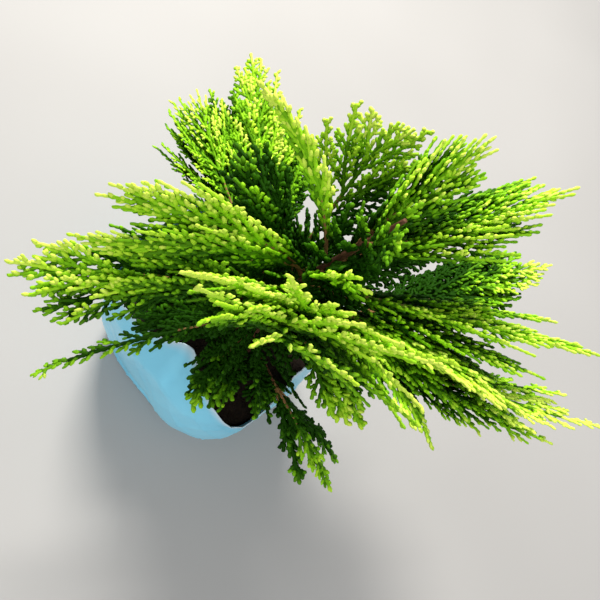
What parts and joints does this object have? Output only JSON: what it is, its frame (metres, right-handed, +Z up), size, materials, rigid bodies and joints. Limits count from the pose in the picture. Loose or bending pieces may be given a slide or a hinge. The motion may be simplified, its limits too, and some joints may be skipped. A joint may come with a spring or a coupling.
{
  "type": "potted conifer",
  "caption": "Young golden conifer in a soft blue nursery bag of soil, with a tapering leaning stem, short boughs and flat sprays of scale leaves.",
  "frame": {"origin": "middle of the bag's flat underside", "axes": "+Z up, the way the stem grows; +X towards the side where the longest sprays reach; -Y towards the collar that is folded inwards"},
  "size_m": [0.2805, 0.2394, 0.2893],
  "materials": {
    "film": "soft creased film, satin",
    "soil": "moist crumbly potting soil, matt",
    "bark": "thin reddish-brown bark, matt",
    "foliage_deep": "scale leaves, satin",
    "foliage_green": "scale leaves, satin",
    "foliage_lime": "scale leaves, satin"
  },
  "bodies": {
    "root": {"grow_bag": "film", "soil": "soil", "trunk": "bark", "bough_low_right": "bark", "bough_left": "bark", "bough_back_left": "bark", "bough_back": "bark", "bough_right_back": "bark", "bough_right": "bark", "bough_front_left": "bark", "bough_crest_front": "bark", "spray_low_right": "foliage_deep", "spray_low_front": "foliage_deep", "spray_low_left": "foliage_deep", "spray_back_low": "foliage_deep", "spray_right_low": "foliage_deep", "spray_left": "foliage_lime", "spray_left_back": "foliage_green", "spray_back_left": "foliage_green", "spray_back": "foliage_green", "spray_right_back": "foliage_green", "spray_right": "foliage_green", "spray_right_upper": "foliage_lime", "spray_right_front": "foliage_lime", "spray_right_tip": "foliage_lime", "spray_right_under": "foliage_green", "spray_front_low": "foliage_deep", "spray_front_left": "foliage_green", "spray_front_middle": "foliage_green", "spray_left_side": "foliage_green", "spray_left_arch": "foliage_lime", "spray_left_upper": "foliage_lime", "spray_crest_front": "foliage_lime", "spray_crest_middle": "foliage_lime", "spray_crest_back": "foliage_lime", "spray_top_back": "foliage_lime", "spray_top_left": "foliage_lime", "spray_top": "foliage_lime"}
  },
  "joints": []
}
